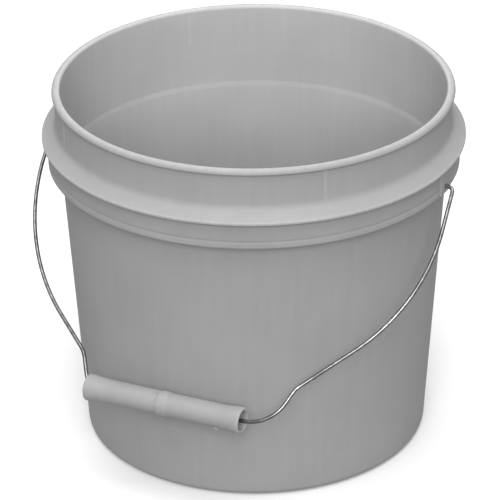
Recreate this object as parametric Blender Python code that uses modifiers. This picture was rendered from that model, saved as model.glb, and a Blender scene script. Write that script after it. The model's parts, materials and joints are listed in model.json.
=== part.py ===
"""A two-gallon plastic fermenting bucket with a wire bail and a plastic hand grip.

Metres, +Z up. The bucket stands on z = 0 with its own axis on the Z axis. The bail turns about an
axis along X through the two ears, and at rest it hangs towards -Y with its grip against the wall.
"""

import math

import bmesh
import bpy
from mathutils import Matrix, Vector

MM = 0.001

# Bucket: overall sizes
HEIGHT = 218.3 * MM
FLANGE_RADIUS = 123.8 * MM
BASE_RADIUS = 101.0 * MM
WALL_TOP_RADIUS = 113.1 * MM  # outside of the tapered wall, level with the skirt's lower edge
WALL = 2.0 * MM
BUCKET_SEGMENTS = 60

# Bucket: floor and foot ring
FLOOR_THICKNESS = 2.4 * MM
FLOOR_FILLET = 6.0 * MM
FOOT_HEIGHT = 2.0 * MM
FOOT_INNER_RADIUS = 90.0 * MM
FOOT_SLOPE = 1.5 * MM
BASE_CORNER = 5.0 * MM

# Bucket: stacking step on the inside of the wall
STEP_Z = 166.0 * MM
STEP_HEIGHT = 3.0 * MM
STEP_DEPTH = 0.7 * MM

# Bucket: neck and lip
LIP_RADIUS = 117.3 * MM
LIP_WIDTH = 4.8 * MM
LIP_HEIGHT = 3.0 * MM
LIP_UNDERCUT = 0.2 * MM
NECK_RADIUS = 115.8 * MM
NECK_WAIST = 0.3 * MM
NECK_FOOT_Z = 194.8 * MM

# Bucket: flange, and the skirt that hangs from it
FLANGE_EDGE_Z = 188.8 * MM
FLANGE_EDGE_DEPTH = 1.6 * MM
FLANGE_UNDERCUT = 0.4 * MM
FLANGE_UNDERSIDE_Z = 190.2 * MM
SKIRT_RADIUS = 120.4 * MM
SKIRT_BOTTOM_Z = 171.3 * MM
SKIRT_GROOVE_Z = 175.4 * MM
SKIRT_GROOVE_DEPTH = 0.35 * MM
SKIRT_GROOVE_HALF_WIDTH = 1.2 * MM
SKIRT_ROOT_DROP = 1.3 * MM  # from the flange's underside at the wall to its underside at the skirt

# Bucket: stiffening ribs in the groove between wall and skirt
RIB_PITCHES = 24
RIB_THICKNESS = 1.6 * MM
RIB_BOTTOM_Z = 178.0 * MM
RIB_TOP_Z = 191.0 * MM

# Bucket: the two ears
EAR_Z = 175.6 * MM
EAR_WIDTH = 13.6 * MM
EAR_INNER_X = 117.7 * MM
EAR_OUTER_X = 121.2 * MM
EAR_TOP_Z = 188.6 * MM
EAR_BOTTOM_Z = SKIRT_BOTTOM_Z + 0.25 * MM
EAR_HOLE_RADIUS = 1.75 * MM
EAR_CORNER = 0.5 * MM
EAR_HOLE_SEGMENTS = 16

# Bail wire, drawn hanging straight down. Each half is a list of bends from the ear to the wire's
# middle, as (half-width, reach below the pivot axis, bend radius): the corner at the ear, the
# shoulder, and the two corners of the offset beside the grip. The wire is bent by hand and has slid
# to one side in the ears, so its two halves differ.
WIRE_RADIUS = 1.15 * MM
PIN_END_X = 115.7 * MM
EAR_BEND = 3.4 * MM
BAIL_REACH = 161.2 * MM
RIGHT_BENDS = [
    (125.9 * MM, 0.0, EAR_BEND),
    (129.3 * MM, 73.3 * MM, 110.0 * MM),
    (70.4 * MM, 136.3 * MM, 13.0 * MM),
    (62.0 * MM, BAIL_REACH, 23.0 * MM),
]
LEFT_BENDS = [
    (128.9 * MM, 0.0, EAR_BEND),
    (127.0 * MM, 84.8 * MM, 130.0 * MM),
    (63.1 * MM, 141.1 * MM, 19.6 * MM),
    (53.5 * MM, BAIL_REACH, 12.7 * MM),
]

# Grip
GRIP_LENGTH = 99.0 * MM
GRIP_RADIUS = 6.9 * MM
GRIP_END_RADIUS = 7.9 * MM
GRIP_FLARE_LENGTH = 13.0 * MM
GRIP_END_LENGTH = 3.0 * MM
GRIP_RING_RADIUS = 7.35 * MM
GRIP_RING_WIDTH = 6.0 * MM
GRIP_RING_SLOPE = 0.8 * MM
GRIP_MOUTH_RADIUS = 6.1 * MM
GRIP_CORE_RADIUS = 5.0 * MM
GRIP_WEB_THICKNESS = 3.0 * MM
GRIP_WEB_HOLE_RADIUS = 1.6 * MM
GRIP_SLIDE_X = -4.0 * MM  # where the grip has slid to along the wire
GRIP_SEGMENTS = 24

# Fits and smoothness
REST_GAP = 2.95 * MM  # between the grip's ring and the wall where the bail is at rest
OVERLAP = 1.0 * MM  # how far a joined feature reaches into the wall that carries it
ARC_ANGLE = math.radians(45.0)
WIRE_ARC_ANGLE = math.radians(12.0)
WIRE_ARC_LENGTH = 6.0 * MM
SHARP_ANGLE = math.radians(35.0)
MERGE = 0.01 * MM


def wall_radius(z):
    """Outer radius of the tapered wall at height z."""
    return BASE_RADIUS + (WALL_TOP_RADIUS - BASE_RADIUS) * z / SKIRT_BOTTOM_Z


def rounded(corners, arc_angle, arc_length=math.inf):
    """Turn (x, y, radius) corners into points, with an arc of that radius at each inner corner."""
    points = [Vector(corners[0][:2])]
    for before, corner, after in zip(corners, corners[1:], corners[2:]):
        here = Vector(corner[:2])
        radius = corner[2]
        inward = (Vector(before[:2]) - here).normalized()
        outward = (Vector(after[:2]) - here).normalized()
        if radius == 0.0:
            points.append(here)
            continue
        half_opening = inward.angle(outward) / 2.0
        turn = math.pi - 2.0 * half_opening
        centre = here + (inward + outward).normalized() * (radius / math.sin(half_opening))
        start = here + inward * (radius / math.tan(half_opening)) - centre
        side = 1.0 if inward.cross(outward) < 0.0 else -1.0
        steps = max(math.ceil(turn / arc_angle), math.ceil(turn * radius / arc_length), 1)
        for step in range(steps + 1):
            spoke = start.copy()
            spoke.rotate(Matrix.Rotation(side * turn * step / steps, 2))
            points.append(centre + spoke)
    points.append(Vector(corners[-1][:2]))
    return points


def bucket_profile():
    """Half cross-section (radius, z): the floor's middle, up the inside, over the lip, down the outside."""
    floor_top = FOOT_HEIGHT + FLOOR_THICKNESS
    step_top = STEP_Z + STEP_HEIGHT
    lip_inner = LIP_RADIUS - LIP_WIDTH
    lip_bottom = HEIGHT - LIP_HEIGHT
    inside = [
        (0.0, floor_top, 0.0),
        (wall_radius(floor_top) - WALL, floor_top, FLOOR_FILLET),
        (wall_radius(STEP_Z) - WALL, STEP_Z, 0.8 * MM),
        (wall_radius(STEP_Z) - WALL + STEP_DEPTH, step_top, 0.8 * MM),
    ]
    lip_and_neck = [
        (lip_inner, HEIGHT, 1.3 * MM),
        (LIP_RADIUS, HEIGHT, 2.4 * MM),
        (LIP_RADIUS, lip_bottom, 0.4 * MM),
        (NECK_RADIUS, lip_bottom - LIP_UNDERCUT, 0.5 * MM),
        (NECK_RADIUS - NECK_WAIST, (lip_bottom + NECK_FOOT_Z) / 2.0, 0.0),
        (NECK_RADIUS, NECK_FOOT_Z, 2.5 * MM),
    ]
    flange_and_skirt = [
        (FLANGE_RADIUS, FLANGE_EDGE_Z, 0.9 * MM),
        (FLANGE_RADIUS, FLANGE_EDGE_Z - FLANGE_EDGE_DEPTH, 0.6 * MM),
        (SKIRT_RADIUS, FLANGE_EDGE_Z - FLANGE_EDGE_DEPTH - FLANGE_UNDERCUT, 0.8 * MM),
        (SKIRT_RADIUS, SKIRT_GROOVE_Z + SKIRT_GROOVE_HALF_WIDTH, 0.0),
        (SKIRT_RADIUS - SKIRT_GROOVE_DEPTH, SKIRT_GROOVE_Z, 0.0),
        (SKIRT_RADIUS, SKIRT_GROOVE_Z - SKIRT_GROOVE_HALF_WIDTH, 0.0),
        (SKIRT_RADIUS, SKIRT_BOTTOM_Z, 0.7 * MM),
        (SKIRT_RADIUS - WALL, SKIRT_BOTTOM_Z, 0.7 * MM),
        (SKIRT_RADIUS - WALL, FLANGE_UNDERSIDE_Z - SKIRT_ROOT_DROP, 1.0 * MM),
        (wall_radius(FLANGE_UNDERSIDE_Z), FLANGE_UNDERSIDE_Z, 1.2 * MM),
    ]
    base = [
        (BASE_RADIUS, 0.0, BASE_CORNER),
        (FOOT_INNER_RADIUS, 0.0, 0.5 * MM),
        (FOOT_INNER_RADIUS - FOOT_SLOPE, FOOT_HEIGHT, 1.0 * MM),
        (0.0, FOOT_HEIGHT, 0.0),
    ]
    return rounded(inside + lip_and_neck + flange_and_skirt + base, ARC_ANGLE)


def grip_profile():
    """Closed cross-section (radius, z) of the grip about its own axis, down the outside and back inside."""
    half = GRIP_LENGTH / 2.0
    flare_foot = half - GRIP_FLARE_LENGTH
    half_ring = GRIP_RING_WIDTH / 2.0
    half_web = GRIP_WEB_THICKNESS / 2.0
    upper_outside = [
        (GRIP_MOUTH_RADIUS, half, 0.0),
        (GRIP_END_RADIUS, half, 1.2 * MM),
        (GRIP_END_RADIUS, half - GRIP_END_LENGTH, 8.0 * MM),
        (GRIP_RADIUS, flare_foot, 14.0 * MM),
        (GRIP_RADIUS, half_ring + GRIP_RING_SLOPE, 0.0),
        (GRIP_RING_RADIUS, half_ring - GRIP_RING_SLOPE, 0.5 * MM),
    ]
    lower_outside = [(radius, -z, bend) for radius, z, bend in reversed(upper_outside)]
    lower_inside = [
        (GRIP_CORE_RADIUS, -half_web, 0.8 * MM),
        (GRIP_WEB_HOLE_RADIUS, -half_web, 0.6 * MM),
    ]
    upper_inside = [(radius, -z, bend) for radius, z, bend in reversed(lower_inside)]
    closing = [(GRIP_MOUTH_RADIUS, half, 0.0)]
    points = rounded(upper_outside + lower_outside + lower_inside + upper_inside + closing, ARC_ANGLE)
    return points[:-1]


def bail_half_outline(bends):
    """Half of the bail's outline (half-width, reach), from the end of the ear pin to the wire's middle."""
    corners = [(PIN_END_X, 0.0, 0.0)] + bends + [(0.0, BAIL_REACH, 0.0)]
    return rounded(corners, WIRE_ARC_ANGLE, WIRE_ARC_LENGTH)


def rest_lean():
    """Angle from straight down at which the grip's ring meets the tapered wall."""
    taper = math.atan2(WALL_TOP_RADIUS - BASE_RADIUS, SKIRT_BOTTOM_Z)
    stand_off = (GRIP_RING_RADIUS + REST_GAP) / math.cos(taper)
    lean = math.radians(45.0)
    for _ in range(30):
        wire_z = EAR_Z - BAIL_REACH * math.cos(lean)
        lean = math.asin((wall_radius(wire_z) + stand_off) / BAIL_REACH)
    return lean


def make_material(name, colour, roughness, metallic=0.0):
    """A plain Principled material."""
    material = bpy.data.materials.new(name)
    material.use_nodes = True
    shader = material.node_tree.nodes["Principled BSDF"]
    shader.inputs["Base Color"].default_value = (*colour, 1.0)
    shader.inputs["Roughness"].default_value = roughness
    shader.inputs["Metallic"].default_value = metallic
    return material


def turned(name, profile, segments, collection, closed=False):
    """A solid turned about its own Z axis from (radius, z) points."""
    mesh = bpy.data.meshes.new(name)
    edges = [(index, index + 1) for index in range(len(profile) - 1)]
    if closed:
        edges.append((len(profile) - 1, 0))
    mesh.from_pydata([(radius, 0.0, z) for radius, z in profile], edges, [])
    obj = bpy.data.objects.new(name, mesh)
    collection.objects.link(obj)
    screw = obj.modifiers.new("turn", "SCREW")
    screw.axis = "Z"
    screw.angle = math.tau
    screw.steps = segments
    screw.render_steps = segments
    screw.use_merge_vertices = True
    screw.merge_threshold = MERGE
    return obj


def boxes(name, size, placements, collection, bevel=0.0):
    """One object of equal boxes, one at each placement matrix."""
    mesh = bpy.data.meshes.new(name)
    shape = bmesh.new()
    for placement in placements:
        bmesh.ops.create_cube(shape, size=1.0, matrix=placement @ Matrix.Diagonal((*size, 1.0)))
    shape.to_mesh(mesh)
    shape.free()
    obj = bpy.data.objects.new(name, mesh)
    collection.objects.link(obj)
    if bevel > 0.0:
        modifier = obj.modifiers.new("corners", "BEVEL")
        modifier.width = bevel
        modifier.segments = 1
    return obj


def ear_hole_cutter(collection):
    """Two short rods along X, one through each ear."""
    mesh = bpy.data.meshes.new("ear_holes")
    shape = bmesh.new()
    length = EAR_OUTER_X - EAR_INNER_X + 2.0 * OVERLAP
    middle = (EAR_OUTER_X + EAR_INNER_X) / 2.0
    for side in (-1.0, 1.0):
        placement = Matrix.Translation((side * middle, 0.0, EAR_Z)) @ Matrix.Rotation(math.pi / 2.0, 4, "Y")
        bmesh.ops.create_cone(
            shape,
            cap_ends=True,
            segments=EAR_HOLE_SEGMENTS,
            radius1=EAR_HOLE_RADIUS,
            radius2=EAR_HOLE_RADIUS,
            depth=length,
            matrix=placement,
        )
    shape.to_mesh(mesh)
    shape.free()
    obj = bpy.data.objects.new("ear_holes", mesh)
    collection.objects.link(obj)
    return obj


def rib_placements():
    """Radial ribs all round the groove, except at the two ears."""
    radius = (wall_radius(RIB_BOTTOM_Z) + SKIRT_RADIUS - WALL) / 2.0
    height = (RIB_TOP_Z + RIB_BOTTOM_Z) / 2.0
    placements = []
    for pitch in range(RIB_PITCHES):
        if pitch % (RIB_PITCHES // 2) != 0:
            turn = Matrix.Rotation(math.tau * pitch / RIB_PITCHES, 4, "Z")
            placements.append(turn @ Matrix.Translation((radius, 0.0, height)))
    return placements


def ear_placements():
    """A pad on the skirt at each end of the pivot axis."""
    middle = (EAR_OUTER_X + EAR_INNER_X) / 2.0
    height = (EAR_TOP_Z + EAR_BOTTOM_Z) / 2.0
    return [Matrix.Translation((side * middle, 0.0, height)) for side in (-1.0, 1.0)]


def combine(target, tool, operation):
    """Join a tool object to the target, or cut it away, and keep the tool as a wire guide."""
    modifier = target.modifiers.new(tool.name, "BOOLEAN")
    modifier.operation = operation
    modifier.object = tool
    modifier.solver = "EXACT"
    tool.hide_render = True
    tool.display_type = "WIRE"


def smooth_shade(obj):
    """Replace the object's mesh by its finished shape, smooth except at sharp edges."""
    bpy.context.view_layer.update()
    evaluated = obj.evaluated_get(bpy.context.evaluated_depsgraph_get())
    mesh = bpy.data.meshes.new_from_object(evaluated)
    mesh.name = obj.name
    obj.modifiers.clear()
    obj.data = mesh
    mesh.shade_smooth()
    mesh.set_sharp_from_angle(angle=SHARP_ANGLE)


def make_bucket(parts, tools):
    """The moulding: wall, floor, lip, flange, skirt, ribs and ears in one piece."""
    bucket = turned("bucket", bucket_profile(), BUCKET_SEGMENTS, parts)
    gap = SKIRT_RADIUS - WALL - wall_radius(RIB_BOTTOM_Z)
    rib_size = (gap + 2.0 * OVERLAP, RIB_THICKNESS, RIB_TOP_Z - RIB_BOTTOM_Z)
    ear_size = (EAR_OUTER_X - EAR_INNER_X, EAR_WIDTH, EAR_TOP_Z - EAR_BOTTOM_Z)
    combine(bucket, boxes("ribs", rib_size, rib_placements(), tools), "UNION")
    combine(bucket, boxes("ear_pads", ear_size, ear_placements(), tools, EAR_CORNER), "UNION")
    combine(bucket, ear_hole_cutter(tools), "DIFFERENCE")
    smooth_shade(bucket)
    bucket.data.materials.append(make_material("bucket_plastic", (0.47, 0.47, 0.47), 0.42))
    return bucket


def make_bail(parts):
    """The bail wire, with its origin on the pivot axis, leaning to its rest angle."""
    right = [(x, 0.0, -reach) for x, reach in bail_half_outline(RIGHT_BENDS)]
    left = [(-x, 0.0, -reach) for x, reach in bail_half_outline(LEFT_BENDS)]
    route = right + left[-2::-1]
    curve = bpy.data.curves.new("bail_wire", "CURVE")
    curve.dimensions = "3D"
    curve.bevel_depth = WIRE_RADIUS
    curve.bevel_resolution = 2
    curve.use_fill_caps = True
    spline = curve.splines.new("POLY")
    spline.points.add(len(route) - 1)
    for point, place in zip(spline.points, route):
        point.co = (*place, 1.0)
    bail = bpy.data.objects.new("bail_wire", curve)
    bail.location = (0.0, 0.0, EAR_Z)
    bail.rotation_euler = (-rest_lean(), 0.0, 0.0)
    parts.objects.link(bail)
    curve.materials.append(make_material("galvanised_wire", (0.55, 0.55, 0.55), 0.28, 1.0))
    return bail


def make_grip(parts, bail):
    """The grip, threaded on the wire's straight middle, with its origin on the wire."""
    grip = turned("grip", grip_profile(), GRIP_SEGMENTS, parts, closed=True)
    smooth_shade(grip)
    grip.parent = bail
    grip.location = (GRIP_SLIDE_X, 0.0, -BAIL_REACH)
    grip.rotation_euler = (0.0, math.pi / 2.0, 0.0)
    grip.data.materials.append(make_material("grip_plastic", (0.62, 0.62, 0.62), 0.38))
    return grip


def new_collection(name):
    collection = bpy.data.collections.new(name)
    bpy.context.scene.collection.children.link(collection)
    return collection


def main():
    for obj in list(bpy.data.objects):
        bpy.data.objects.remove(obj, do_unlink=True)
    parts = new_collection("fermenting_bucket")
    tools = new_collection("cutters")
    make_bucket(parts, tools)
    bail = make_bail(parts)
    make_grip(parts, bail)


main()
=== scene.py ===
"""Looks of a plastic fermenting bucket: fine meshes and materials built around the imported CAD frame.

Metres, in the CAD's own frame. The bucket stands on z = 0 with its axis on Z, and the bail's pivot
axis runs along X. Each visible piece is a finer mesh that stands for the CAD node of the same shape.
"""

import json
import math

import bmesh
import bpy
from mathutils import Matrix, Vector


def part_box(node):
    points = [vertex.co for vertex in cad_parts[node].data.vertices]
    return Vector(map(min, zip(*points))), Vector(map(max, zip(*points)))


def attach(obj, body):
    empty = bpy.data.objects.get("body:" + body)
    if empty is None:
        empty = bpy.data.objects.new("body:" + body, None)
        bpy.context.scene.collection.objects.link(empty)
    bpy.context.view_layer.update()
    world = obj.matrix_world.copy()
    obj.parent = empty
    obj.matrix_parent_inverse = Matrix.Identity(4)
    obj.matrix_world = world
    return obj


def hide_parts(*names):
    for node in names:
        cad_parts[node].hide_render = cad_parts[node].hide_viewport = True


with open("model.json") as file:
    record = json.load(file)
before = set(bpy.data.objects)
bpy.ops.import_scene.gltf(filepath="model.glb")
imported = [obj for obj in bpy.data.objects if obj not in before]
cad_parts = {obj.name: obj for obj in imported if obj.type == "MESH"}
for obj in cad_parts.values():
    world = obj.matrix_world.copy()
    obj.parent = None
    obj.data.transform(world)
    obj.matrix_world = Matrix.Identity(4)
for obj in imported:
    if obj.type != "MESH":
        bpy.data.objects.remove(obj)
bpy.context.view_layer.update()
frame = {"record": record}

MM = 0.001

# Sizes that the frame gives
BUCKET_LOW, BUCKET_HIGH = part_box("bucket")
GRIP_LOW, GRIP_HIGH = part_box("grip")
JOINTS = {joint["name"]: joint for joint in frame["record"]["behaviour"]["joints"]}
PIVOT = Vector(JOINTS["bail_swing"]["pos_m"])
GRIP_CENTRE = Vector(JOINTS["grip_spin"]["pos_m"])
HEIGHT = BUCKET_HIGH[2]
FLANGE_RADIUS = BUCKET_HIGH[0]
GRIP_LENGTH = GRIP_HIGH[0] - GRIP_LOW[0]

# Bucket section
BASE_RADIUS = 101.0 * MM
WALL_TOP_RADIUS = 113.1 * MM
WALL = 2.0 * MM
FLOOR_THICKNESS = 2.4 * MM
FLOOR_FILLET = 6.0 * MM
FOOT_HEIGHT = 2.0 * MM
FOOT_INNER_RADIUS = 90.0 * MM
FOOT_SLOPE = 1.5 * MM
BASE_CORNER = 5.0 * MM
STEP_Z = 166.0 * MM
STEP_HEIGHT = 3.0 * MM
STEP_DEPTH = 0.7 * MM
LIP_RADIUS = 117.3 * MM
LIP_WIDTH = 4.8 * MM
LIP_HEIGHT = 3.0 * MM
LIP_UNDERCUT = 0.2 * MM
NECK_RADIUS = 115.8 * MM
NECK_WAIST = 0.3 * MM
NECK_FOOT_Z = 194.8 * MM
FLANGE_EDGE_Z = 188.8 * MM
FLANGE_EDGE_DEPTH = 1.6 * MM
FLANGE_UNDERCUT = 0.4 * MM
FLANGE_UNDERSIDE_Z = 190.2 * MM
SKIRT_RADIUS = 120.4 * MM
SKIRT_BOTTOM_Z = 171.3 * MM
SKIRT_GROOVE_Z = 175.4 * MM
SKIRT_GROOVE_DEPTH = 0.35 * MM
SKIRT_GROOVE_HALF_WIDTH = 1.2 * MM
SKIRT_ROOT_DROP = 1.3 * MM
BUCKET_SEGMENTS = 240

# Ribs and ears
RIB_PITCHES = 24
RIB_THICKNESS = 1.6 * MM
RIB_BOTTOM_Z = 178.0 * MM
RIB_TOP_Z = 191.0 * MM
EAR_WIDTH = 13.6 * MM
EAR_INNER_X = 117.7 * MM
EAR_OUTER_X = 121.2 * MM
EAR_TOP_Z = 188.6 * MM
EAR_BOTTOM_Z = SKIRT_BOTTOM_Z + 0.25 * MM
EAR_HOLE_RADIUS = 1.75 * MM
OVERLAP = 1.0 * MM
STUB_SEGMENTS = 48
EAR_BEVEL = 0.5 * MM

# Marks that the mould leaves: four thin lines on the neck, and the gate's stub under the floor
WITNESS_WIDTH = 1.3 * MM
WITNESS_HEIGHT = 0.32 * MM
WITNESS_DEPTH = 1.4 * MM
WITNESS_INSET = 0.6 * MM
WITNESS_BEVEL = 0.12 * MM
WITNESS_MARK_WIDTH = 2.2 * MM
GATE_RADIUS = 3.2 * MM
GATE_TIP_RADIUS = 2.4 * MM
GATE_HEIGHT = 0.9 * MM

# Bail wire: each half is a list of bends (half-width, reach below the pivot, bend radius), ear to middle
WIRE_RADIUS = 1.15 * MM
PIN_END_X = 115.7 * MM
EAR_BEND = 3.4 * MM
BAIL_REACH = (GRIP_CENTRE - Vector((GRIP_CENTRE.x, PIVOT.y, PIVOT.z))).length
RIGHT_BENDS = [
    (125.9 * MM, 0.0, EAR_BEND),
    (129.3 * MM, 73.3 * MM, 110.0 * MM),
    (70.4 * MM, 136.3 * MM, 13.0 * MM),
    (62.0 * MM, BAIL_REACH, 23.0 * MM),
]
LEFT_BENDS = [
    (128.9 * MM, 0.0, EAR_BEND),
    (127.0 * MM, 84.8 * MM, 130.0 * MM),
    (63.1 * MM, 141.1 * MM, 19.6 * MM),
    (53.5 * MM, BAIL_REACH, 12.7 * MM),
]
WIRE_SIDES = 24
WIRE_STEP = 2.0 * MM
END_DOME_ANGLES = (15.0, 35.0, 55.0, 75.0)
END_DOME_SHAPE = 0.5  # the dome's depth over the wire's radius

# Grip
GRIP_RADIUS = 6.9 * MM
GRIP_END_RADIUS = 7.9 * MM
GRIP_FLARE_LENGTH = 13.0 * MM
GRIP_END_LENGTH = 3.0 * MM
GRIP_RING_RADIUS = 7.5 * MM
GRIP_RING_WIDTH = 6.0 * MM
GRIP_RING_SLOPE = 0.8 * MM
GRIP_MOUTH_RADIUS = 6.1 * MM
GRIP_CORE_RADIUS = 5.0 * MM
GRIP_WEB_THICKNESS = 3.0 * MM
GRIP_WEB_HOLE_RADIUS = 1.6 * MM
GRIP_SEGMENTS = 96
GRIP_BORE_STEP = 6.0 * MM  # how far inside the mouth the bore's taper starts
GRIP_BORE_TAPER = 0.05 * MM
GRIP_SEAM_WIDTH = 0.5 * MM
GRIP_SEAM_HEIGHT = 0.14 * MM
GRIP_GATE_ANGLE = math.radians(-28.0)
GRIP_SEAM_ANGLES = (GRIP_GATE_ANGLE, GRIP_GATE_ANGLE + math.pi)
GRIP_GATE_Z = 34.0 * MM
GRIP_GATE_RADIUS = 2.0 * MM
GRIP_GATE_TIP_RADIUS = 1.4 * MM
GRIP_GATE_HEIGHT = 1.1 * MM

# Camera
CAMERA_AZIMUTH = math.radians(25.1)
CAMERA_ELEVATION = math.radians(27.12)
CAMERA_ROLL = math.radians(-0.55)
CAMERA_DISTANCE = 2.228
CAMERA_TARGET_RIGHT = -2.9 * MM
CAMERA_TARGET_Z = 109.3 * MM
CAMERA_LENS_MM = 270.3
SENSOR_MM = 36.0

SHARP_ANGLE = math.radians(35.0)
LONGEST_BUCKET_STRETCH = 12.0 * MM
LONGEST_GRIP_STRETCH = 3.0 * MM

# Light: name, azimuth, elevation, spread (degrees), strength
LIGHTS = (
    ("overhead", 20.0, 78.0, 50.0, 2.0),
    ("front", 24.0, 32.0, 32.0, 1.95),
    ("rear", 210.0, 38.0, 50.0, 0.7),
)
SURROUND = 0.40
FLOOR_GREY = 0.90
FLOOR_RADIUS = 10.0
FLOOR_EDGE_RADIUS = 13.5
FLOOR_EDGE_HEIGHT = 1.4
FLOOR_SEGMENTS = 64

# Tones
BUCKET_GREY = 0.366
# Painted light inside: the inner surface is painted paler towards the lip and darker deep down, standing
# in for light that comes through the wall
BUCKET_INSIDE_PAINTED_GREYS = (0.375, 0.475)  # deep inside, and near the lip
BUCKET_INSIDE_HEIGHTS = (105.0 * MM, 190.0 * MM)
BUCKET_ROUGHNESS = 0.45
GRIP_GREY = 0.358
GRIP_ROUGHNESS = 0.36

# Wire: tones and roughness from its darkest lines to its brightest, and what its dull patches change
WIRE_GREYS = (0.17, 0.38)
WIRE_ROUGHNESS = (0.20, 0.36)
WIRE_DULL_DROP = 0.45
WIRE_DULL_ROUGHNESS = 0.10

# Plastic: how much mottling, rubbing, scuffs, specks and the painted shade in its creases change its tone
TONE_SPREAD = 0.045
RUBBED_LIFT = 0.16
SCUFF_LIFT = 0.05
SPECK_DROP = 0.10
# Painted shade: how much darker the creases under the lip, the flange's rim and the skirt's edge are
# painted
CREASE_SHADE_DROP = 0.22

# Plastic: how much rougher or smoother it is where it is mottled, scuffed and rubbed
ROUGHNESS_SPREAD = 0.04
SCUFF_ROUGHNESS = 0.12
RUBBED_ROUGHNESS = 0.10

# Plastic: specular level, and how far light spreads under the skin
PLASTIC_SPECULAR = 0.16
PLASTIC_SCATTER = 0.5
PLASTIC_SCATTER_DEPTH = 4.0 * MM

# Pattern sizes, in repeats per metre; three numbers stretch a pattern along the axis of the smallest
MOTTLE_SCALE = 26.0
STREAK_SCALES = (220.0, 220.0, 9.0)
SCUFF_SCALES = (900.0, 160.0, 70.0)
SCUFF_PATCH_SCALE = 18.0
FLECK_SCALE = 420.0
SPECK_SCALE = 950.0
# Size of the clumps that break up the painted shade in the creases
CREASE_SHADE_CLUMP_SCALE = 130.0
WAVE_SCALES = (30.0, 30.0, 4.0)
PEEL_SCALE = 700.0
WIRE_LINE_SCALES = (30.0, 40.0, 1.0)  # over the wire's UVs: metres along it, and turns round it
WIRE_MOTTLE_SCALE = 300.0
WIRE_DULL_SCALE = 55.0

# Heights of the surface relief that the materials add
WAVE_DEPTH = 1.0 * MM
PEEL_DEPTH = 0.10 * MM
LINE_DEPTH = 0.05 * MM


# ---------------------------------------------------------------- shapes

def wall_radius(z):
    """Outer radius of the tapered wall at height z."""
    return BASE_RADIUS + (WALL_TOP_RADIUS - BASE_RADIUS) * z / SKIRT_BOTTOM_Z


def rounded(corners, arc_angle, arc_length=math.inf):
    """Turn (x, y, radius) corners into points, with an arc of that radius at each inner corner."""
    points = [Vector(corners[0][:2])]
    for before, corner, after in zip(corners, corners[1:], corners[2:]):
        here = Vector(corner[:2])
        radius = corner[2]
        inward = (Vector(before[:2]) - here).normalized()
        outward = (Vector(after[:2]) - here).normalized()
        if radius == 0.0:
            points.append(here)
            continue
        half_opening = inward.angle(outward) / 2.0
        turn = math.pi - 2.0 * half_opening
        centre = here + (inward + outward).normalized() * (radius / math.sin(half_opening))
        start = here + inward * (radius / math.tan(half_opening)) - centre
        side = 1.0 if inward.cross(outward) < 0.0 else -1.0
        steps = max(math.ceil(turn / arc_angle), math.ceil(turn * radius / arc_length), 1)
        for step in range(steps + 1):
            spoke = start.copy()
            spoke.rotate(Matrix.Rotation(side * turn * step / steps, 2))
            points.append(centre + spoke)
    points.append(Vector(corners[-1][:2]))
    return points


def filled_in(points, longest):
    """The same points with more along every stretch that is longer than longest."""
    result = [points[0]]
    for before, after in zip(points, points[1:]):
        parts = max(1, math.ceil((after - before).length / longest))
        result += [before.lerp(after, part / parts) for part in range(1, parts + 1)]
    return result


def bucket_profile():
    """Half cross-section (radius, z): from the floor's middle, up the inside and down the outside."""
    floor_top = FOOT_HEIGHT + FLOOR_THICKNESS
    lip_inner = LIP_RADIUS - LIP_WIDTH
    lip_bottom = HEIGHT - LIP_HEIGHT
    waist_z = (lip_bottom + NECK_FOOT_Z) / 2.0
    corners = [
        (0.0, floor_top, 0.0),
        (wall_radius(floor_top) - WALL, floor_top, FLOOR_FILLET),
        (wall_radius(STEP_Z) - WALL, STEP_Z, 2.5 * MM),
        (wall_radius(STEP_Z) - WALL + STEP_DEPTH, STEP_Z + STEP_HEIGHT, 2.5 * MM),
        (lip_inner, HEIGHT, 2.0 * MM),
        (LIP_RADIUS, HEIGHT, 2.55 * MM),
        (LIP_RADIUS, lip_bottom, 0.4 * MM),
        (NECK_RADIUS, lip_bottom - LIP_UNDERCUT, 0.5 * MM),
        (NECK_RADIUS - NECK_WAIST, waist_z, 120.0 * MM),
        (NECK_RADIUS, NECK_FOOT_Z, 4.5 * MM),
        (FLANGE_RADIUS, FLANGE_EDGE_Z, 0.9 * MM),
        (FLANGE_RADIUS, FLANGE_EDGE_Z - FLANGE_EDGE_DEPTH, 0.6 * MM),
        (SKIRT_RADIUS, FLANGE_EDGE_Z - FLANGE_EDGE_DEPTH - FLANGE_UNDERCUT, 0.8 * MM),
        (SKIRT_RADIUS, SKIRT_GROOVE_Z + SKIRT_GROOVE_HALF_WIDTH, 1.5 * MM),
        (SKIRT_RADIUS - SKIRT_GROOVE_DEPTH, SKIRT_GROOVE_Z, 1.2 * MM),
        (SKIRT_RADIUS, SKIRT_GROOVE_Z - SKIRT_GROOVE_HALF_WIDTH, 1.5 * MM),
        (SKIRT_RADIUS, SKIRT_BOTTOM_Z, 0.7 * MM),
        (SKIRT_RADIUS - WALL, SKIRT_BOTTOM_Z, 0.7 * MM),
        (SKIRT_RADIUS - WALL, FLANGE_UNDERSIDE_Z - SKIRT_ROOT_DROP, 1.0 * MM),
        (wall_radius(FLANGE_UNDERSIDE_Z), FLANGE_UNDERSIDE_Z, 1.2 * MM),
        (BASE_RADIUS, 0.0, BASE_CORNER),
        (FOOT_INNER_RADIUS, 0.0, 0.5 * MM),
        (FOOT_INNER_RADIUS - FOOT_SLOPE, FOOT_HEIGHT, 1.0 * MM),
        (0.0, FOOT_HEIGHT, 0.0),
    ]
    return filled_in(rounded(corners, math.radians(11.0)), LONGEST_BUCKET_STRETCH)


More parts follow.
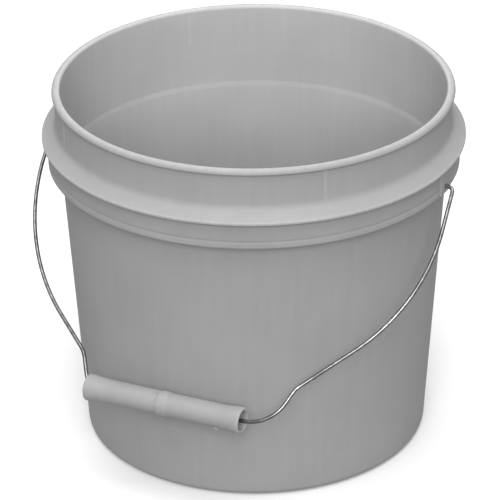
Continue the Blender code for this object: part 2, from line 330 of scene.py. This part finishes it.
def grip_profile():
    """Closed cross-section (radius, z) about the grip's own axis, down the outside and back inside."""
    half = GRIP_LENGTH / 2.0
    flare_foot = half - GRIP_FLARE_LENGTH
    half_ring = GRIP_RING_WIDTH / 2.0
    half_web = GRIP_WEB_THICKNESS / 2.0
    upper_outside = [
        (GRIP_MOUTH_RADIUS, half, 0.5 * MM),
        (GRIP_END_RADIUS, half, 1.2 * MM),
        (GRIP_END_RADIUS, half - GRIP_END_LENGTH, 8.0 * MM),
        (GRIP_RADIUS, flare_foot, 14.0 * MM),
        (GRIP_RADIUS, half_ring + GRIP_RING_SLOPE, 2.0 * MM),
        (GRIP_RING_RADIUS, half_ring - GRIP_RING_SLOPE, 1.5 * MM),
    ]
    lower_outside = [(radius, -z, bend) for radius, z, bend in reversed(upper_outside)]
    lower_inside = [
        (GRIP_CORE_RADIUS, -half_web, 0.8 * MM),
        (GRIP_WEB_HOLE_RADIUS, -half_web, 0.6 * MM),
    ]
    upper_inside = [(radius, -z, bend) for radius, z, bend in reversed(lower_inside)]
    inner_start = (GRIP_MOUTH_RADIUS - GRIP_BORE_TAPER, half - GRIP_BORE_STEP, 0.0)
    corners = [inner_start] + upper_outside + lower_outside + lower_inside + upper_inside + [inner_start]
    return filled_in(rounded(corners, math.radians(12.0)), LONGEST_GRIP_STRETCH)[:-1]


def object_from(name, shape):
    """Turn a bmesh into an object in the scene, and free it."""
    mesh = bpy.data.meshes.new(name)
    shape.to_mesh(mesh)
    shape.free()
    obj = bpy.data.objects.new(name, mesh)
    bpy.context.scene.collection.objects.link(obj)
    return obj


def lathe(name, profile, segments, closed=False):
    """A turned quad mesh about Z. Profile ends that lie on the axis become single points."""
    shape = bmesh.new()
    rings = []
    for radius, z in profile:
        if radius < 1e-7:
            rings.append([shape.verts.new((0.0, 0.0, z))] * segments)
            continue
        ring = []
        for segment in range(segments):
            angle = math.tau * segment / segments
            ring.append(shape.verts.new((radius * math.cos(angle), radius * math.sin(angle), z)))
        rings.append(ring)
    pairs = list(zip(rings, rings[1:]))
    if closed:
        pairs.append((rings[-1], rings[0]))
    for first, second in pairs:
        for segment in range(segments):
            after = (segment + 1) % segments
            corners = [first[segment], first[after], second[after], second[segment]]
            shape.faces.new(list(dict.fromkeys(corners)))
    bmesh.ops.recalc_face_normals(shape, faces=shape.faces)
    return object_from(name, shape)


def boxes(name, size, placements, bevel=0.0):
    """One object of equal boxes, one at each placement matrix, for joining to another mesh."""
    shape = bmesh.new()
    for placement in placements:
        bmesh.ops.create_cube(shape, size=1.0, matrix=placement @ Matrix.Diagonal((*size, 1.0)))
    if bevel > 0.0:
        edges = shape.edges[:]
        bmesh.ops.bevel(shape, geom=edges, offset=bevel, segments=3, profile=0.5, affect="EDGES")
    return object_from(name, shape)


def stubs(name, radius, tip_radius, length, placements):
    """One object of equal tapered round stubs along Z, one at each placement matrix."""
    shape = bmesh.new()
    for placement in placements:
        bmesh.ops.create_cone(
            shape,
            cap_ends=True,
            segments=STUB_SEGMENTS,
            radius1=radius,
            radius2=tip_radius,
            depth=length,
            matrix=placement,
        )
    return object_from(name, shape)


def ear_hole_tool():
    """Two short rods along X, one through each ear."""
    middle = (EAR_OUTER_X + EAR_INNER_X) / 2.0
    length = EAR_OUTER_X - EAR_INNER_X + 2.0 * OVERLAP
    turn = Matrix.Rotation(math.pi / 2.0, 4, "Y")
    placements = [Matrix.Translation((side * middle, 0.0, PIVOT.z)) @ turn for side in (-1.0, 1.0)]
    return stubs("ear_hole_tool", EAR_HOLE_RADIUS, EAR_HOLE_RADIUS, length, placements)


def combine(target, tool, operation):
    """Join a tool to the target mesh, or cut it away, and delete the tool."""
    modifier = target.modifiers.new(tool.name, "BOOLEAN")
    modifier.operation = operation
    modifier.object = tool
    modifier.solver = "EXACT"
    bake(target)
    bpy.data.objects.remove(tool, do_unlink=True)


def bake(obj):
    """Replace an object's mesh by its evaluated shape."""
    bpy.context.view_layer.update()
    evaluated = obj.evaluated_get(bpy.context.evaluated_depsgraph_get())
    mesh = bpy.data.meshes.new_from_object(evaluated)
    mesh.name = obj.name
    obj.modifiers.clear()
    obj.data = mesh


def smooth(obj):
    """Shade smooth, with edges sharper than the limit kept sharp."""
    obj.data.shade_smooth()
    obj.data.set_sharp_from_angle(angle=SHARP_ANGLE)


def rib_placements():
    """Radial ribs all round the groove under the flange, except at the two ears."""
    radius = (wall_radius(RIB_BOTTOM_Z) + SKIRT_RADIUS - WALL) / 2.0
    height = (RIB_TOP_Z + RIB_BOTTOM_Z) / 2.0
    placements = []
    for pitch in range(RIB_PITCHES):
        if pitch % (RIB_PITCHES // 2) != 0:
            turn = Matrix.Rotation(math.tau * pitch / RIB_PITCHES, 4, "Z")
            placements.append(turn @ Matrix.Translation((radius, 0.0, height)))
    return placements


def ear_placements():
    """A pad on the skirt at each end of the pivot axis."""
    middle = (EAR_OUTER_X + EAR_INNER_X) / 2.0
    height = (EAR_TOP_Z + EAR_BOTTOM_Z) / 2.0
    return [Matrix.Translation((side * middle, 0.0, height)) for side in (-1.0, 1.0)]


def witness_placements():
    """Thin upright lines on the neck, where the mould's four side parts met."""
    radius = NECK_RADIUS - NECK_WAIST + WITNESS_HEIGHT - WITNESS_DEPTH / 2.0
    height = (NECK_FOOT_Z + HEIGHT - LIP_HEIGHT) / 2.0
    placements = []
    for quarter in range(4):
        turn = Matrix.Rotation(math.tau * (quarter + 0.5) / 4.0, 4, "Z")
        placements.append(turn @ Matrix.Translation((radius, 0.0, height)))
    return placements


def make_bucket():
    """The moulding, with its ribs, ears and ear holes."""
    bucket = lathe("bucket_moulding", bucket_profile(), BUCKET_SEGMENTS)
    gap = SKIRT_RADIUS - WALL - wall_radius(RIB_BOTTOM_Z)
    rib_size = (gap + 2.0 * OVERLAP, RIB_THICKNESS, RIB_TOP_Z - RIB_BOTTOM_Z)
    ear_size = (EAR_OUTER_X - EAR_INNER_X, EAR_WIDTH, EAR_TOP_Z - EAR_BOTTOM_Z)
    witness_length = HEIGHT - LIP_HEIGHT - NECK_FOOT_Z - 2.0 * WITNESS_INSET
    witness_size = (WITNESS_DEPTH, WITNESS_WIDTH, witness_length)
    gate_place = Matrix.Translation((0.0, 0.0, FOOT_HEIGHT - GATE_HEIGHT / 2.0 + OVERLAP / 2.0))
    gate = stubs("gate_tool", GATE_TIP_RADIUS, GATE_RADIUS, GATE_HEIGHT + OVERLAP, [gate_place])
    combine(bucket, boxes("rib_tool", rib_size, rib_placements()), "UNION")
    combine(bucket, boxes("ear_tool", ear_size, ear_placements(), EAR_BEVEL), "UNION")
    combine(bucket, boxes("witness_tool", witness_size, witness_placements(), WITNESS_BEVEL), "UNION")
    combine(bucket, gate, "UNION")
    combine(bucket, ear_hole_tool(), "DIFFERENCE")
    smooth(bucket)
    return bucket


def bail_half_outline(bends):
    """Half of the bail's outline (half-width, reach), from the ear pin's end to the wire's middle."""
    corners = [(PIN_END_X, 0.0, 0.0)] + bends + [(0.0, BAIL_REACH, 0.0)]
    return filled_in(rounded(corners, math.radians(6.0), WIRE_STEP), WIRE_STEP)


def bail_route():
    """Centre line of the bail as it hangs straight down, from the right pin round to the left one."""
    right = [Vector((x, 0.0, -reach)) for x, reach in bail_half_outline(RIGHT_BENDS)]
    left = [Vector((-x, 0.0, -reach)) for x, reach in bail_half_outline(LEFT_BENDS)]
    return right + left[-2::-1]


def tube_stations(route, radius):
    """Places along a tube, each (point, direction, radius, distance), with domes at both ends."""
    stations = []
    distance = 0.0
    for index, point in enumerate(route):
        before = route[max(index - 1, 0)]
        after = route[min(index + 1, len(route) - 1)]
        distance += (point - before).length
        stations.append((point, (after - before).normalized(), radius, distance))
    dome_depth = radius * END_DOME_SHAPE
    first, last = [], []
    for angle in map(math.radians, END_DOME_ANGLES):
        ring_radius = radius * math.cos(angle)
        for ends, station, side in ((first, stations[0], -1.0), (last, stations[-1], 1.0)):
            point, along, _, distance = station
            ring_centre = point + along * side * dome_depth * math.sin(angle)
            ends.append((ring_centre, along, ring_radius, distance))
    return first[::-1] + stations + last


def tube(name, route, radius, sides):
    """A round tube along a flat route in the XZ plane, with domed ends and UVs along and around it."""
    shape = bmesh.new()
    uv_layer = shape.loops.layers.uv.new("UVMap")
    across = Vector((0.0, 1.0, 0.0))
    rings = []
    for point, along, ring_radius, distance in tube_stations(route, radius):
        outward = along.cross(across)
        ring = []
        for side in range(sides):
            angle = math.tau * side / sides
            spoke = across * math.cos(angle) + outward * math.sin(angle)
            ring.append(shape.verts.new(point + spoke * ring_radius))
        rings.append((ring, distance))
    for (ring, distance), (next_ring, next_distance) in zip(rings, rings[1:]):
        for side in range(sides):
            after = (side + 1) % sides
            face = shape.faces.new([ring[side], ring[after], next_ring[after], next_ring[side]])
            turn = side / sides
            next_turn = (side + 1) / sides
            turns = (turn, next_turn, next_turn, turn)
            distances = (distance, distance, next_distance, next_distance)
            for loop, corner in zip(face.loops, zip(distances, turns)):
                loop[uv_layer].uv = corner
    shape.faces.new(rings[0][0])
    shape.faces.new(rings[-1][0])
    bmesh.ops.recalc_face_normals(shape, faces=shape.faces)
    return object_from(name, shape)


def make_bail():
    """The bail wire, leaning to the rest angle that the frame gives."""
    bail = tube("bail_wire_drawn", bail_route(), WIRE_RADIUS, WIRE_SIDES)
    lean = math.atan2(PIVOT.y - GRIP_CENTRE.y, PIVOT.z - GRIP_CENTRE.z)
    bail.data.transform(Matrix.Translation(PIVOT) @ Matrix.Rotation(-lean, 4, "X"))
    smooth(bail)
    return bail


def grip_seam_placements():
    """Two fine raised lines along the grip, each in two stretches beside the middle ring."""
    ring_end = GRIP_RING_WIDTH / 2.0 + GRIP_RING_SLOPE
    straight_end = GRIP_LENGTH / 2.0 - GRIP_FLARE_LENGTH
    middle = (ring_end + straight_end) / 2.0
    placements = []
    for angle in GRIP_SEAM_ANGLES:
        turn = Matrix.Rotation(angle, 4, "Z")
        for side in (-1.0, 1.0):
            placements.append(turn @ Matrix.Translation((GRIP_RADIUS, 0.0, side * middle)))
    return placements


def grip_gate_placement():
    """The stub of the grip's gate, on the seam, near one end."""
    reach = GRIP_RADIUS + (GRIP_GATE_HEIGHT - OVERLAP) / 2.0
    upright = Matrix.Translation((reach, 0.0, GRIP_GATE_Z)) @ Matrix.Rotation(math.pi / 2.0, 4, "Y")
    return Matrix.Rotation(GRIP_GATE_ANGLE, 4, "Z") @ upright


def make_grip():
    """The grip, threaded on the wire's straight middle."""
    grip = lathe("grip_moulding", grip_profile(), GRIP_SEGMENTS, closed=True)
    seam_length = GRIP_LENGTH / 2.0 - GRIP_FLARE_LENGTH - GRIP_RING_WIDTH / 2.0 - GRIP_RING_SLOPE
    seam_size = (2.0 * GRIP_SEAM_HEIGHT, GRIP_SEAM_WIDTH, seam_length)
    seams = boxes("grip_seam_tool", seam_size, grip_seam_placements(), GRIP_SEAM_HEIGHT * 0.45)
    gate_length = GRIP_GATE_HEIGHT + OVERLAP
    gate_places = [grip_gate_placement()]
    gate = stubs("grip_gate_tool", GRIP_GATE_RADIUS, GRIP_GATE_TIP_RADIUS, gate_length, gate_places)
    combine(grip, seams, "UNION")
    combine(grip, gate, "UNION")
    grip.data.transform(Matrix.Translation(GRIP_CENTRE) @ Matrix.Rotation(math.pi / 2.0, 4, "Y"))
    smooth(grip)
    return grip


# ---------------------------------------------------------------- materials

def new_material(name, roughness, metallic=0.0, colour=(0.5, 0.5, 0.5)):
    """A Principled material and its node tree."""
    material = bpy.data.materials.new(name)
    material.use_nodes = True
    shader = material.node_tree.nodes["Principled BSDF"]
    shader.inputs["Base Color"].default_value = (*colour, 1.0)
    shader.inputs["Roughness"].default_value = roughness
    shader.inputs["Metallic"].default_value = metallic
    return material, material.node_tree, shader


def add_node(tree, kind, **values):
    """A node with its input sockets set by name."""
    node = tree.nodes.new(kind)
    for name, value in values.items():
        node.inputs[name.replace("_", " ")].default_value = value
    return node


def noise(tree, vector, scale, detail=2.0, roughness=0.5):
    """Noise over a vector output; returns its factor output."""
    node = add_node(tree, "ShaderNodeTexNoise", Scale=scale, Detail=detail, Roughness=roughness)
    tree.links.new(vector, node.inputs["Vector"])
    return node.outputs["Fac"]


def stretched(tree, vector, scale):
    """A vector output scaled by three factors."""
    node = add_node(tree, "ShaderNodeMapping", Scale=scale)
    tree.links.new(vector, node.inputs["Vector"])
    return node.outputs["Vector"]


def remap(tree, value, low, high, to_low, to_high):
    """A value clamped between low and high and spread from to_low to to_high."""
    node = tree.nodes.new("ShaderNodeMapRange")
    node.inputs["From Min"].default_value = low
    node.inputs["From Max"].default_value = high
    node.inputs["To Min"].default_value = to_low
    node.inputs["To Max"].default_value = to_high
    tree.links.new(value, node.inputs["Value"])
    return node.outputs["Result"]


def combine_values(tree, operation, first, second=0.0):
    """A Math node over one or two outputs or numbers."""
    node = tree.nodes.new("ShaderNodeMath")
    node.operation = operation
    for socket, value in zip(node.inputs, (first, second)):
        if isinstance(value, float):
            socket.default_value = value
        else:
            tree.links.new(value, socket)
    return node.outputs["Value"]


def grey_ramp(tree, value, dark, light):
    """A colour between two greys."""
    node = tree.nodes.new("ShaderNodeMix")
    node.data_type = "RGBA"
    node.inputs["A"].default_value = (dark, dark, dark, 1.0)
    node.inputs["B"].default_value = (light, light, light, 1.0)
    tree.links.new(value, node.inputs["Factor"])
    return node.outputs["Result"]


def bump(tree, height, strength, distance, normal=None):
    """A Bump node; returns its normal output."""
    node = add_node(tree, "ShaderNodeBump", Strength=strength, Distance=distance)
    tree.links.new(height, node.inputs["Height"])
    if normal is not None:
        tree.links.new(normal, node.inputs["Normal"])
    return node.outputs["Normal"]


def object_place(tree):
    """Coordinates on the object, in metres and in the frame's own axes."""
    return tree.nodes.new("ShaderNodeTexCoord").outputs["Object"]


def height_and_radius(tree):
    """Height above the floor, and distance from the Z axis."""
    split = tree.nodes.new("ShaderNodeSeparateXYZ")
    tree.links.new(object_place(tree), split.inputs["Vector"])
    across = (split.outputs["X"], split.outputs["Y"])
    squares = [combine_values(tree, "MULTIPLY", value, value) for value in across]
    radius = combine_values(tree, "SQRT", combine_values(tree, "ADD", *squares))
    return split.outputs["Z"], radius


def facing_axis(tree):
    """1 on surfaces that face the object's own Z axis, 0 on those that face away from it."""
    flat = tree.nodes.new("ShaderNodeVectorMath")
    flat.operation = "MULTIPLY"
    flat.inputs[1].default_value = (-1.0, -1.0, 0.0)
    tree.links.new(object_place(tree), flat.inputs[0])
    inward = tree.nodes.new("ShaderNodeVectorMath")
    inward.operation = "NORMALIZE"
    tree.links.new(flat.outputs["Vector"], inward.inputs[0])
    dot = tree.nodes.new("ShaderNodeVectorMath")
    dot.operation = "DOT_PRODUCT"
    normal = tree.nodes.new("ShaderNodeTexCoord").outputs["Normal"]
    tree.links.new(inward.outputs["Vector"], dot.inputs[0])
    tree.links.new(normal, dot.inputs[1])
    return remap(tree, dot.outputs["Value"], 0.0, 0.5, 0.0, 1.0)


def band(tree, value, centre, half_width):
    """1 where a value is at the centre, falling to 0 at half_width from it."""
    away = combine_values(tree, "ABSOLUTE", combine_values(tree, "SUBTRACT", value, centre))
    return remap(tree, away, 0.0, half_width, 1.0, 0.0)


def witness_mask(tree, z):
    """1 along the four mould lines on the neck, where the two horizontal coordinates are alike."""
    split = tree.nodes.new("ShaderNodeSeparateXYZ")
    tree.links.new(object_place(tree), split.inputs["Vector"])
    sizes = [combine_values(tree, "ABSOLUTE", split.outputs[axis]) for axis in ("X", "Y")]
    line = band(tree, combine_values(tree, "SUBTRACT", *sizes), 0.0, WITNESS_MARK_WIDTH)
    low, high = NECK_FOOT_Z + WITNESS_INSET, HEIGHT - LIP_HEIGHT - WITNESS_INSET
    neck = band(tree, z, (low + high) / 2.0, (high - low) / 2.0)
    return combine_values(tree, "MULTIPLY", line, remap(tree, neck, 0.0, 0.1, 0.0, 1.0))


def bucket_wear(tree):
    """Rubbed edges: the lip's top, the flange's rim and the base corner."""
    z, radius = height_and_radius(tree)
    lip = remap(tree, z, HEIGHT - 0.9 * MM, HEIGHT, 0.0, 1.0)
    rim = remap(tree, radius, FLANGE_RADIUS - 1.0 * MM, FLANGE_RADIUS, 0.0, 1.0)
    base = remap(tree, z, 0.0, 3.5 * MM, 1.0, 0.0)
    wear = combine_values(tree, "MAXIMUM", combine_values(tree, "MAXIMUM", lip, rim), base)
    return combine_values(tree, "MAXIMUM", wear, witness_mask(tree, z))


def bucket_crease_shade(tree):
    """Painted shade: the creases under the lip, under the flange's rim and behind the skirt's edge,
    painted darker where shade falls.
    """
    z, radius = height_and_radius(tree)
    creases = (
        (HEIGHT - LIP_HEIGHT - 0.5 * MM, 1.5 * MM, LIP_RADIUS - 0.9 * MM),
        (FLANGE_EDGE_Z - FLANGE_EDGE_DEPTH - 0.7 * MM, 1.5 * MM, FLANGE_RADIUS - 2.4 * MM),
        (SKIRT_BOTTOM_Z - 0.6 * MM, 2.0 * MM, SKIRT_RADIUS - WALL - 1.0 * MM),
    )
    crease_shade = 0.0
    for centre, half_width, reach in creases:
        inside_reach = remap(tree, radius, reach, reach + 0.5 * MM, 1.0, 0.0)
        crease = combine_values(tree, "MULTIPLY", band(tree, z, centre, half_width), inside_reach)
        crease_shade = combine_values(tree, "MAXIMUM", crease, crease_shade)
    outside = combine_values(tree, "SUBTRACT", 1.0, facing_axis(tree))
    return combine_values(tree, "MULTIPLY", crease_shade, outside)


def bucket_inside_painted_light(tree, tone):
    """The tone inside the bucket, with painted light and shade: palest near the lip and darker deep down,
    standing in for light that comes through the wall.
    """
    z, _ = height_and_radius(tree)
    low, high = BUCKET_INSIDE_HEIGHTS
    deep, pale = BUCKET_INSIDE_PAINTED_GREYS
    level = remap(tree, z, low, high, deep, pale)
    mottling = remap(tree, tone, 0.0, 1.0, 1.0 - TONE_SPREAD, 1.0 + TONE_SPREAD)
    return combine_values(tree, "MULTIPLY", level, mottling)


def grip_wear(tree):
    """Rubbed edges at the grip's two mouths, and on its middle ring."""
    split = tree.nodes.new("ShaderNodeSeparateXYZ")
    tree.links.new(object_place(tree), split.inputs["Vector"])
    along = combine_values(tree, "SUBTRACT", split.outputs["X"], GRIP_CENTRE.x)
    along = combine_values(tree, "ABSOLUTE", along)
    half = GRIP_LENGTH / 2.0
    mouths = remap(tree, along, half - 1.6 * MM, half, 0.0, 1.0)
    ring = remap(tree, along, 0.0, GRIP_RING_WIDTH / 2.0, 0.5, 0.0)
    return combine_values(tree, "MAXIMUM", mouths, ring)


def mix_values(tree, factor, first, second):
    """First where the factor is 0, second where it is 1."""
    node = tree.nodes.new("ShaderNodeMix")
    tree.links.new(factor, node.inputs["Factor"])
    for name, value in (("A", first), ("B", second)):
        if isinstance(value, float):
            node.inputs[name].default_value = value
        else:
            tree.links.new(value, node.inputs[name])
    return node.outputs["Result"]


def mottle_and_streaks(tree):
    """Soft clouds and upright flow streaks, added up to a value between 0 and 1."""
    place = object_place(tree)
    mottle = remap(tree, noise(tree, place, MOTTLE_SCALE, 3.0), 0.3, 0.7, 0.0, 0.6)
    streaks = noise(tree, stretched(tree, place, STREAK_SCALES), 1.0, 3.0)
    return combine_values(tree, "ADD", mottle, remap(tree, streaks, 0.3, 0.7, 0.0, 0.4))


def scuff_lines(tree):
    """Fine slanting scratches; returns all of them, and a sharper set that shows in patches only."""
    place = object_place(tree)
    lines = noise(tree, stretched(tree, place, SCUFF_SCALES), 1.0, 4.0, 0.65)
    sharp_lines = remap(tree, lines, 0.60, 0.72, 0.0, 1.0)
    patches = remap(tree, noise(tree, place, SCUFF_PATCH_SCALE, 2.0), 0.50, 0.66, 0.0, 1.0)
    return lines, combine_values(tree, "MULTIPLY", sharp_lines, patches)


def flecked(tree, value):
    """A mask broken up into fine flecks."""
    flecks = noise(tree, object_place(tree), FLECK_SCALE, 3.0, 0.6)
    return combine_values(tree, "MULTIPLY", value, remap(tree, flecks, 0.45, 0.62, 0.35, 1.0))


def marks(tree, rubbed, scuffs, crease_shade):
    """How much paler or darker the marks make the plastic, as a factor near 1."""
    specks = remap(tree, noise(tree, object_place(tree), SPECK_SCALE, 1.0), 0.76, 0.82, 0.0, 1.0)
    changes = [("ADD", rubbed, RUBBED_LIFT), ("ADD", scuffs, SCUFF_LIFT), ("SUBTRACT", specks, SPECK_DROP)]
    if crease_shade is not None:
        # Painted shade in the creases, broken into soft clumps
        clumps = remap(tree, noise(tree, object_place(tree), CREASE_SHADE_CLUMP_SCALE, 3.0), 0.3, 0.6, 0.65, 1.0)
        changes.append(("SUBTRACT", combine_values(tree, "MULTIPLY", crease_shade(tree), clumps), CREASE_SHADE_DROP))
    factor = 1.0
    for operation, mask, amount in changes:
        factor = combine_values(tree, operation, factor, combine_values(tree, "MULTIPLY", mask, amount))
    return factor


def plastic_relief(tree, lines):
    """Slow waves from the moulding, a fine orange peel, and the scratches."""
    waves = noise(tree, stretched(tree, object_place(tree), WAVE_SCALES), 1.0, 1.0)
    peel = noise(tree, object_place(tree), PEEL_SCALE, 2.0)
    normal = bump(tree, waves, 0.30, WAVE_DEPTH)
    normal = bump(tree, peel, 0.22, PEEL_DEPTH, normal)
    return bump(tree, lines, 0.05, LINE_DEPTH, normal)


def plastic(name, grey, roughness, wear, crease_shade=None, inside=None):
    """Moulded polyethylene: mottled satin grey, with flow streaks, specks, scuffs and rubbed edges, and
    for the bucket painted shade in its creases.
    """
    material, tree, shader = new_material(name, roughness)
    tone = mottle_and_streaks(tree)
    lines, scuffs = scuff_lines(tree)
    rubbed = flecked(tree, wear(tree))

    level = remap(tree, tone, 0.0, 1.0, grey * (1.0 - TONE_SPREAD), grey * (1.0 + TONE_SPREAD))
    if inside is not None:
        # Painted light: surfaces that face the axis take the inside tone, painted paler towards the lip
        level = mix_values(tree, facing_axis(tree), level, inside(tree, tone))
    level = combine_values(tree, "MULTIPLY", level, marks(tree, rubbed, scuffs, crease_shade))
    tree.links.new(grey_ramp(tree, level, 0.0, 1.0), shader.inputs["Base Color"])

    rough = remap(tree, tone, 0.0, 1.0, roughness - ROUGHNESS_SPREAD, roughness + ROUGHNESS_SPREAD)
    for mask, amount in ((scuffs, SCUFF_ROUGHNESS), (rubbed, RUBBED_ROUGHNESS)):
        rough = combine_values(tree, "ADD", rough, combine_values(tree, "MULTIPLY", mask, amount))
    tree.links.new(rough, shader.inputs["Roughness"])

    tree.links.new(plastic_relief(tree, lines), shader.inputs["Normal"])
    shader.inputs["Specular IOR Level"].default_value = PLASTIC_SPECULAR
    shader.inputs["Subsurface Weight"].default_value = PLASTIC_SCATTER
    shader.inputs["Subsurface Scale"].default_value = PLASTIC_SCATTER_DEPTH
    shader.inputs["Subsurface Radius"].default_value = (1.0, 1.0, 1.0)
    return material


def wire_metal():
    """Drawn galvanised steel: fine lengthwise lines, zinc mottling, and dull patches."""
    material, tree, shader = new_material("drawn_galvanised_wire", WIRE_ROUGHNESS[0], 1.0)
    uv = tree.nodes.new("ShaderNodeUVMap").outputs["UV"]
    lines = noise(tree, stretched(tree, uv, WIRE_LINE_SCALES), 1.0, 4.0, 0.6)
    mottle = noise(tree, object_place(tree), WIRE_MOTTLE_SCALE, 3.0)
    dull = remap(tree, noise(tree, object_place(tree), WIRE_DULL_SCALE, 2.0), 0.50, 0.66, 0.0, 1.0)
    shade = combine_values(tree, "MULTIPLY", dull, WIRE_DULL_DROP)
    bright = combine_values(tree, "SUBTRACT", remap(tree, mottle, 0.3, 0.7, 0.0, 1.0), shade)
    dark_grey, light_grey = WIRE_GREYS
    tree.links.new(grey_ramp(tree, bright, dark_grey, light_grey), shader.inputs["Base Color"])
    rough = remap(tree, lines, 0.3, 0.7, *WIRE_ROUGHNESS)
    duller = combine_values(tree, "MULTIPLY", dull, WIRE_DULL_ROUGHNESS)
    tree.links.new(combine_values(tree, "ADD", rough, duller), shader.inputs["Roughness"])
    tree.links.new(bump(tree, lines, 0.15, LINE_DEPTH), shader.inputs["Normal"])
    return material


# ---------------------------------------------------------------- stage

def floor_and_light():
    """A wide pale floor that rises at its far edge, three soft lights, and an even dim surround."""
    floor_profile = [(0.0, 0.0), (FLOOR_RADIUS, 0.0), (FLOOR_EDGE_RADIUS, FLOOR_EDGE_HEIGHT)]
    floor = lathe("floor", floor_profile, FLOOR_SEGMENTS)
    material, _, shader = new_material("pale_floor", 0.9, 0.0, (FLOOR_GREY, FLOOR_GREY, FLOOR_GREY))
    shader.inputs["Specular IOR Level"].default_value = 0.0
    floor.data.materials.append(material)
    # Light off a floor this pale would brighten the bucket's sides and the undersides of its edges.
    floor.visible_diffuse = False
    floor.visible_glossy = False

    world = bpy.data.worlds.new("studio")
    bpy.context.scene.world = world
    world.use_nodes = True
    background = world.node_tree.nodes["Background"]
    background.inputs["Color"].default_value = (1.0, 1.0, 1.0, 1.0)
    background.inputs["Strength"].default_value = SURROUND

    for name, azimuth, elevation, spread, strength in LIGHTS:
        add_soft_light(name, *map(math.radians, (azimuth, elevation, spread)), strength)


def add_soft_light(name, azimuth, elevation, spread, strength):
    """A broad, even light from far away; azimuth 0 is in front, at -Y, and 90 degrees is at +X."""
    data = bpy.data.lights.new(name, "SUN")
    data.energy = strength
    data.angle = spread
    away = Vector((
        math.sin(azimuth) * math.cos(elevation),
        -math.cos(azimuth) * math.cos(elevation),
        math.sin(elevation),
    ))
    light = bpy.data.objects.new(name, data)
    light.rotation_euler = away.to_track_quat("Z", "Y").to_euler()
    bpy.context.scene.collection.objects.link(light)


def make_camera():
    """A long lens from above the front right, aimed near the bucket's middle."""
    right = Vector((math.cos(CAMERA_AZIMUTH), math.sin(CAMERA_AZIMUTH), 0.0))
    back = Vector((
        math.sin(CAMERA_AZIMUTH) * math.cos(CAMERA_ELEVATION),
        -math.cos(CAMERA_AZIMUTH) * math.cos(CAMERA_ELEVATION),
        math.sin(CAMERA_ELEVATION),
    ))
    target = right * CAMERA_TARGET_RIGHT + Vector((0.0, 0.0, CAMERA_TARGET_Z))
    up = back.cross(right)
    turn = Matrix((right, up, back)).transposed().to_4x4() @ Matrix.Rotation(CAMERA_ROLL, 4, "Z")
    data = bpy.data.cameras.new("camera")
    data.lens = CAMERA_LENS_MM
    data.sensor_width = SENSOR_MM
    data.clip_end = 100.0
    camera = bpy.data.objects.new("camera", data)
    camera.matrix_world = Matrix.Translation(target + back * CAMERA_DISTANCE) @ turn
    bpy.context.scene.collection.objects.link(camera)
    bpy.context.scene.camera = camera


# ---------------------------------------------------------------- assembly

def place_piece(piece, material, body, node):
    """Give a piece its material, and tie it to the frame."""
    piece.data.materials.append(material)
    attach(piece, body)
    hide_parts(node)


make_camera()
floor_and_light()
bpy.context.scene.view_settings.view_transform = "Standard"
bucket_plastic = plastic(
    "bucket_polyethylene", BUCKET_GREY, BUCKET_ROUGHNESS, bucket_wear, bucket_crease_shade, bucket_inside_painted_light
)
grip_plastic = plastic("grip_polyethylene", GRIP_GREY, GRIP_ROUGHNESS, grip_wear)
place_piece(make_bucket(), bucket_plastic, "bucket", "bucket")
place_piece(make_bail(), wire_metal(), "bail", "bail_wire")
place_piece(make_grip(), grip_plastic, "grip", "grip")
